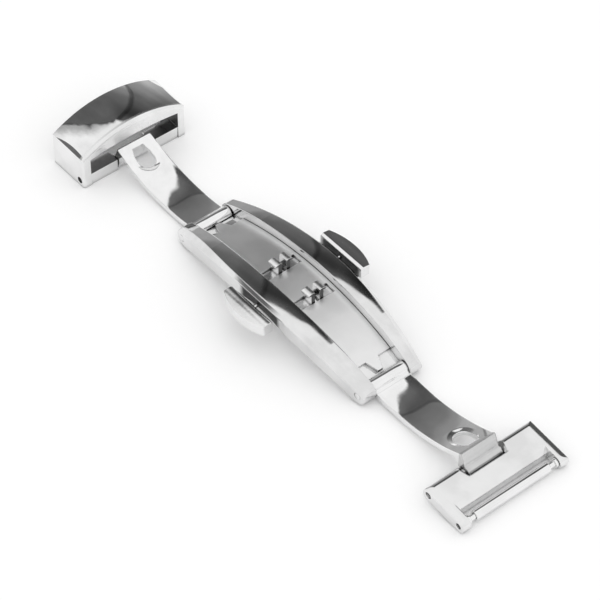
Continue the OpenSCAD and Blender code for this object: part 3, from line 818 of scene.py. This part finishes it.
@dataclass
class SpringBar:
    """A spring bar: a tube with rolled ends, two sprung tips and their spring. Sizes in mm."""

    name: str
    body: str
    at: tuple
    tube_r: float = 0.82
    tube_bore: float = 0.64
    tube_half: float = 7.45
    tube_lip: float = 0.3
    tube_roll: float = 0.22
    lip_bore: float = 0.53
    tip_r: float = 0.48
    tip_end: float = 9.75
    tip_round: float = 0.16
    flange: tuple = (8.5, 8.95)
    flange_r: float = 0.78
    guide: tuple = (5.91, 7.11)
    guide_r: float = 0.6
    break_edge: float = 0.04
    wire: float = 0.1
    turns: int = 16

    def tube_profile(self) -> tuple:
        """The closed profile of the tube's wall.

        Returns:
            (y, radius) points, once round the wall.
        """
        half, e = self.tube_half, self.break_edge
        inner = half - self.tube_lip
        outside = quarter_round(half, self.tube_r, self.tube_roll)
        inside = [(half, self.lip_bore + e / 2), (half - e / 2, self.lip_bore),
                  (inner, self.lip_bore), (inner, self.tube_bore)]
        left_outside, left_inside = [[(-y, r) for y, r in reversed(line)]
                                     for line in (outside, inside)]
        return tuple(left_outside + outside + inside + left_inside)

    def collar(self, span: tuple, radius: float) -> list:
        """(y, radius) points over a collar of a tip, whose two edges are broken."""
        low, high, e = *span, self.break_edge
        return [(low, radius - e), (low + e, radius), (high - e, radius), (high, radius - e)]

    def tip_profile(self, side: Side) -> tuple:
        """Profile of a tip: guide, neck, flange and a rounded point.

        Args:
            side: the end of the bar that it stands in.

        Returns:
            (y, radius) points from its inner end to its point.
        """
        profile = [(self.guide[0], 0.0), *self.collar(self.guide, self.guide_r),
                   (self.guide[1], self.tip_r), (self.flange[0], self.tip_r),
                   *self.collar(self.flange, self.flange_r), (self.flange[1], self.tip_r),
                   *quarter_round(self.tip_end, self.tip_r, self.tip_round), (self.tip_end, 0.0)]
        return tuple((side.value * y, r) for y, r in profile)

    def build(self, finishes: Finishes) -> None:
        """Builds the tube, the tips and the spring.

        Args:
            finishes: the clasp's finishes.
        """
        Turned(f"{self.name}_turned_tube", self.body, Slot.BAR, f"{self.name}_tube", at=self.at,
               profile=self.tube_profile(), hollow=True).make(finishes.bar)
        for side in Side:
            node = f"{self.name}_tip_{side.word}"
            Turned(f"{self.name}_turned_tip_{side.word}", node, Slot.BAR, node, at=self.at,
                   profile=self.tip_profile(side)).make(finishes.bar)
        Coil(f"{self.name}_wound_spring", self.body, Slot.WIRE, f"{self.name}_spring", at=self.at,
             start=-self.guide[0], end=self.guide[0], radius=self.guide_r, wire=self.wire,
             turns=self.turns).make(finishes.wire)


@dataclass
class FoldingFrame:
    """The arched base frame, the brushed plate in its channel and the two hinge pins.

    Sizes in mm.
    """

    pins_x: tuple = (("left", -22.369574), ("right", 21.630426))
    pin_z: float = 1.75
    pin_r: float = 0.6
    pin_half: float = 6.12
    pin_round: float = 0.15

    def build(self, finishes: Finishes) -> None:
        """Turns the hinge pins.

        Args:
            finishes: the clasp's finishes.
        """
        for end, x in self.pins_x:
            Turned(f"{end}_turned_hinge_pin", "frame", Slot.PIN, f"{end}_hinge_pin",
                   at=(x, self.pin_z),
                   profile=pin_profile(self.pin_half, self.pin_r, self.pin_round)
                   ).make(finishes.pin)

    def dress(self, finishes: Finishes) -> None:
        """Polishes the frame and brushes the plate."""
        put_finish("base_frame", finishes.frame)
        put_finish("top_plate", finishes.brushed)


@dataclass
class Latch:
    """One side's push button, its pin, the hooked slider that it moves, and their spring.

    Sizes in mm. Spans along Y count from the centre line outwards.
    """

    side: Side
    x: float = MIDDLE_X
    pin_z: float = 5.27
    pin_r: float = 0.36
    pin_span: tuple = (5.81, 9.25)
    pin_round: float = 0.08
    spring_span: tuple = (4.45, 5.61)
    spring_r: float = 0.31
    spring_wire: float = 0.065
    spring_turns: int = 4
    button_round: float = 0.05
    button_sharp: float = 8.0

    def build(self, finishes: Finishes) -> None:
        """Shapes the button, turns its pin and winds the spring.

        Args:
            finishes: the clasp's finishes.
        """
        word, way, at = self.side.word, self.side.value, (self.x, self.pin_z)
        half = (self.pin_span[1] - self.pin_span[0]) / 2
        middle = way * (self.pin_span[1] + self.pin_span[0]) / 2
        profile = tuple((middle + y, r) for y, r in pin_profile(half, self.pin_r, self.pin_round))
        Key(f"push_button_{word}", f"button_{word}", Slot.POLISHED, f"button_{word}",
            side=self.side, x=self.x, sharp_angle=self.button_sharp,
            rounding=self.button_round).make(finishes.button)
        Turned(f"button_turned_pin_{word}", f"button_{word}", Slot.PIN, f"button_pin_{word}",
               at=at, profile=profile).make(finishes.pin)
        Coil(f"latch_wound_spring_{word}", "frame", Slot.WIRE, f"latch_spring_{word}", at=at,
             start=way * self.spring_span[0], end=way * self.spring_span[1],
             radius=self.spring_r, wire=self.spring_wire,
             turns=self.spring_turns).make(finishes.wire)

    def dress(self, finishes: Finishes) -> None:
        """Finishes the slider."""
        put_finish(f"latch_slider_{self.side.word}", finishes.slider)


@dataclass
class FoldingArms:
    """The two bowed arms of polished sheet, whose shapes the CAD gives."""

    names: tuple = ("left_arm", "right_arm")

    def build(self, finishes: Finishes) -> None:
        """Has nothing to build, since both arms keep the CAD's mesh."""

    def dress(self, finishes: Finishes) -> None:
        """Polishes the arms."""
        for name in self.names:
            put_finish(name, finishes.arm)


@dataclass
class Cover:
    """The domed cover with the arm's pin, the heels of its pin blocks and its spring bar.

    Sizes in mm. The heel is (x, z) points from middle and the floor, and stands over heel_span
    to either side of the centre line.
    """

    middle: float = -44.162674
    pin_z: float = 1.2
    pin_r: float = 0.6
    pin_half: float = 10.1
    pin_round: float = 0.08
    heel: tuple = ((-1.0, 0.02), (-1.62, 0.02), (-1.84, 0.1), (-1.98, 0.32), (-1.98, 2.0),
                   (-1.9, 2.18), (-1.72, 2.29), (-1.0, 2.29))
    heel_span: tuple = (3.57, 9.06)
    bar_at: tuple = (-50.312674, 1.9)

    def build(self, finishes: Finishes) -> None:
        """Turns the arm's pin, adds the blocks' heels and builds the spring bar.

        Args:
            finishes: the clasp's finishes.
        """
        Turned("cover_turned_pin", "cover", Slot.PIN, "cover_pin", at=(self.middle, self.pin_z),
               profile=pin_profile(self.pin_half, self.pin_r, self.pin_round)).make(finishes.pin)
        for side in Side:
            span = tuple(sorted(side.value * y for y in self.heel_span))
            Prism(f"cover_block_heel_{side.word}", "cover", Slot.POLISHED,
                  at=(self.middle, 0.0), outline=self.heel, span=span).make(finishes.block)
        SpringBar("cover_bar", "cover", self.bar_at).build(finishes)

    def dress(self, finishes: Finishes) -> None:
        """Polishes the cover."""
        put_finish("cover", finishes.cover)


@dataclass
class StrapEnd:
    """The flat end piece for the strap, with the arm's pin and its spring bar. Sizes in mm."""

    pin_at: tuple = (43.430126, 1.86414)
    pin_r: float = 0.6
    pin_half: float = 10.1
    pin_round: float = 0.08
    bar_at: tuple = (50.212632, 1.15001)

    def build(self, finishes: Finishes) -> None:
        """Turns the arm's pin and builds the spring bar.

        Args:
            finishes: the clasp's finishes.
        """
        Turned("strap_end_turned_pin", "strap_end", Slot.PIN, "strap_end_pin", at=self.pin_at,
               profile=pin_profile(self.pin_half, self.pin_r, self.pin_round)).make(finishes.pin)
        SpringBar("strap_bar", "strap_end", self.bar_at).build(finishes)

    def dress(self, finishes: Finishes) -> None:
        """Polishes the end piece."""
        put_finish("strap_end", finishes.strap_end)


@dataclass
class Room:
    """What the steel mirrors: a white room with a round dark thing before a dark wall, to the left.

    Angles are in degrees: azimuth from +Y towards +X, elevation from the floor up. A pair of them
    is where an edge begins and where it is full. Levels are 1 for white, and a step is the change
    of level between two angles.
    """

    round_at: tuple = (-76.5, 27.5)
    round_reach: float = 27.5
    round_edge: float = 0.8
    round_foot: tuple = (-4.0, 4.0)
    round_level: float = 0.40
    round_steps: tuple = ((-0.16, 20.0, 26.0), (-0.10, 26.0, 33.0))
    crest: tuple = (33.0, 47.0)
    crest_drop: float = 0.02
    crest_steps: tuple = ((0.05, -66.0, -55.0),)
    stretch_right: float = 1.13
    stretch_left: float = 1.27
    wall_left: tuple = (-100.0, -90.0)
    wall_right: tuple = (-15.0, -20.0)
    wall_slant: float = 8.0
    slant_heights: tuple = (24.0, 32.0)
    wall_top: tuple = (54.0, 52.0)
    wall_foot: tuple = (-34.0, -26.0)
    wall_level: float = 0.52
    wall_steps: tuple = ((-0.22, 4.0, 16.0), (-0.16, 14.0, 27.0), (-0.10, 26.0, 44.0),
                         (0.06, 45.0, 52.0))
    wall_shadow: float = 0.67
    shadow_left: tuple = (-42.0, -32.0)
    rim_width: float = 1.1
    rim_level: float = 0.45
    haze: float = 0.55
    haze_gap: float = 1.5
    haze_reach: float = 8.0
    haze_fray: float = 2.0
    haze_right: tuple = (-72.0, -80.0)
    haze_foot: tuple = (30.0, 40.0)
    haze_top: tuple = (58.0, 53.0)
    spot_at: tuple = (-142.0, 24.0)
    spot_reach: tuple = (12.0, 7.0)
    spot_depth: float = 0.85
    fray: float = 2.4
    white_level: float = 0.93
    white_steps: tuple = ((0.07, 0.3, 0.6),)
    dark_mottle: tuple = (0.8, 0.4)

    def round_shade(self, azimuth: Socket, elevation: Socket) -> Socket:
        """How bright the round thing is: darker with the height, and at its crest to the right."""
        return (stepped(self.round_level, self.round_steps, elevation)
                - stepped(self.crest_drop, self.crest_steps, azimuth) * elevation.ramp(*self.crest))

    def wall_shade(self, azimuth: Socket, elevation: Socket) -> Socket:
        """How bright the wall behind it is, which darkens upwards and to the right."""
        level = stepped(self.wall_level, self.wall_steps, elevation)
        return level * (1.0 - self.wall_shadow * azimuth.ramp(*self.shadow_left))

    def level(self, graph: Graph) -> Socket:
        """How bright the room is in each direction.

        Args:
            graph: the world's node tree.

        Returns:
            The level, 1 for white.
        """
        way = graph.out("ShaderNodeTexCoord", "Generated")
        x, y, z = graph.split(way)
        degrees = 180.0 / math.pi
        azimuth = x.math("ARCTAN2", y) * degrees
        elevation = z.math("ARCSINE") * degrees
        mottle = graph.noise(way, *Pattern.ROOM_CLOUDS.value)
        fray = self.fray * (graph.noise(way, *Pattern.ROOM_FRAY.value) - 0.5)
        # the round thing, drawn out to the left and right
        aside = azimuth - self.round_at[0]
        aside = (aside * (1.0 / self.stretch_right)).math(
            "MAXIMUM", aside * (-1.0 / self.stretch_left))
        reach = aside.hypot(elevation - self.round_at[1])
        ball = (reach + fray).ramp(self.round_reach + self.round_edge,
                                   self.round_reach - self.round_edge)
        ball = ball * elevation.ramp(*self.round_foot)
        # the wall behind it
        right = azimuth + self.wall_slant * elevation.ramp(*self.slant_heights)
        wall = azimuth.ramp(*self.wall_left) * right.ramp(*self.wall_right)
        wall = wall * (elevation + fray).ramp(*self.wall_top) * elevation.ramp(*self.wall_foot)
        anywhere = wall.math("MAXIMUM", ball)
        # the darker rim of the round thing, a small dark spot, and the haze over the white
        rim = abs(reach - self.round_reach).ramp(self.rim_width, 0.5 * self.rim_width) * anywhere
        spot = (azimuth - self.spot_at[0]).hypot(elevation - self.spot_at[1])
        spot = spot.ramp(*self.spot_reach)
        haze = (reach + self.haze_fray * fray).ramp(self.round_reach + self.haze_reach,
                                                    self.round_reach + self.haze_gap)
        haze = haze * azimuth.ramp(*self.haze_right)
        haze = haze * elevation.ramp(*self.haze_foot) * elevation.ramp(*self.haze_top)
        white = stepped(self.white_level, self.white_steps, mottle) * (1.0 - self.haze * haze)
        dark = (self.wall_shade(azimuth, elevation) * (1.0 - ball)
                + self.round_shade(azimuth, elevation) * ball)
        dark = dark * (self.dark_mottle[0] + self.dark_mottle[1] * mottle)
        dark = dark * (1.0 - (1.0 - self.rim_level) * rim)
        return (white * (1.0 - anywhere) + dark * anywhere) * (1.0 - self.spot_depth * spot)


@dataclass
class Studio:
    """The pale floor, the light and the camera. Lengths in metres, lens and sensor in mm."""

    azimuth: float = 50.791
    elevation: float = 46.619
    distance: float = 440 * MM
    lens: float = 166.15
    sensor: float = 36.0
    clip: tuple = (0.01, 10.0)
    aim_right: float = 0.4785 * MM
    aim_up: float = 0.7854 * MM
    base_x: float = MIDDLE_X * MM
    floor_half: float = 0.8
    floor_z: float = -0.01 * MM
    floor_tone: float = 0.95
    floor_lift: float = 0.075

    def camera(self) -> None:
        """Puts the camera where the photograph was taken from."""
        a, e = math.radians(self.azimuth), math.radians(self.elevation)
        back = Vector((math.sin(a) * math.cos(e), -math.cos(a) * math.cos(e), math.sin(e)))
        right = Vector((math.cos(a), math.sin(a), 0))
        up = back.cross(right)
        data = bpy.data.cameras.new("camera")
        data.lens = self.lens
        data.sensor_width = self.sensor
        data.clip_start, data.clip_end = self.clip
        holder = bpy.data.objects.new("camera", data)
        turn = Matrix((right, up, back)).transposed()
        place = (back * self.distance + right * self.aim_right + up * self.aim_up
                 + Vector((self.base_x, 0, 0)))
        holder.matrix_world = Matrix.Translation(place) @ turn.to_4x4()
        bpy.context.scene.collection.objects.link(holder)
        bpy.context.scene.camera = holder

    def direct_rays(self, graph: Graph) -> Socket:
        """Tells the rays that show the surface from those that it lights other things by.

        Args:
            graph: the material's node tree.

        Returns:
            1 where the camera, a mirror or glass sees the surface, else 0.
        """
        path = graph.node("ShaderNodeLightPath")
        camera, glossy, through = [Socket(graph, path.outputs[name]) for name in
                                   ("Is Camera Ray", "Is Glossy Ray", "Is Transmission Ray")]
        return camera.math("MAXIMUM", glossy).math("MAXIMUM", through)

    def floor(self) -> None:
        """Lays the floor, whose paper shows as white with the clasp's shadow on it."""
        h = self.floor_half
        mesh = bpy.data.meshes.new("floor")
        mesh.from_pydata([(-h, -h, 0), (h, -h, 0), (h, h, 0), (-h, h, 0)], [], [(0, 1, 2, 3)])
        plane = bpy.data.objects.new("floor", mesh)
        plane.location.z = self.floor_z
        bpy.context.scene.collection.objects.link(plane)
        material = bpy.data.materials.new("floor_paper")
        material.use_nodes = True
        graph = Graph(material.node_tree)
        paper = graph.out("ShaderNodeBsdfDiffuse", 0, None,
                          {"Color": (self.floor_tone,) * 3 + (1,)})
        lift = graph.out("ShaderNodeEmission", 0, None,
                         {"Color": (1, 1, 1, 1),
                          "Strength": self.floor_lift * self.direct_rays(graph)})
        both = graph.out("ShaderNodeAddShader", 0, None, {0: paper, 1: lift})
        graph.node("ShaderNodeOutputMaterial", None, {"Surface": both})
        mesh.materials.append(material)

    def world(self) -> None:
        """Lights the scene with white, and shows the room to gloss alone."""
        world = bpy.data.worlds.new("studio")
        bpy.context.scene.world = world
        world.use_nodes = True
        graph = Graph(world.node_tree)
        glossy = graph.out("ShaderNodeLightPath", "Is Glossy Ray")
        tone = graph.mix(glossy * (1.0 - Room().level(graph)), (1, 1, 1, 1), (0, 0, 0, 1))
        shade = graph.out("ShaderNodeBackground", 0, None, {"Color": tone, "Strength": 1.0})
        graph.node("ShaderNodeOutputWorld", None, {"Surface": shade})

    def build(self) -> None:
        """Builds the whole set."""
        self.camera()
        self.floor()
        self.world()
        bpy.context.scene.view_settings.view_transform = "Standard"


def main() -> None:
    """Builds and dresses the clasp, one sub-assembly after the other, and sets the studio."""
    logging.basicConfig(level=logging.INFO, format="%(message)s")
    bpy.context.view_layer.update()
    finishes = Finishes()
    sub_assemblies = [FoldingFrame(), *(Latch(side) for side in Side), FoldingArms(), Cover(),
                      StrapEnd()]
    for part in sub_assemblies:
        part.build(finishes)
        part.dress(finishes)
    Studio().build()


if __name__ == "__main__":
    main()
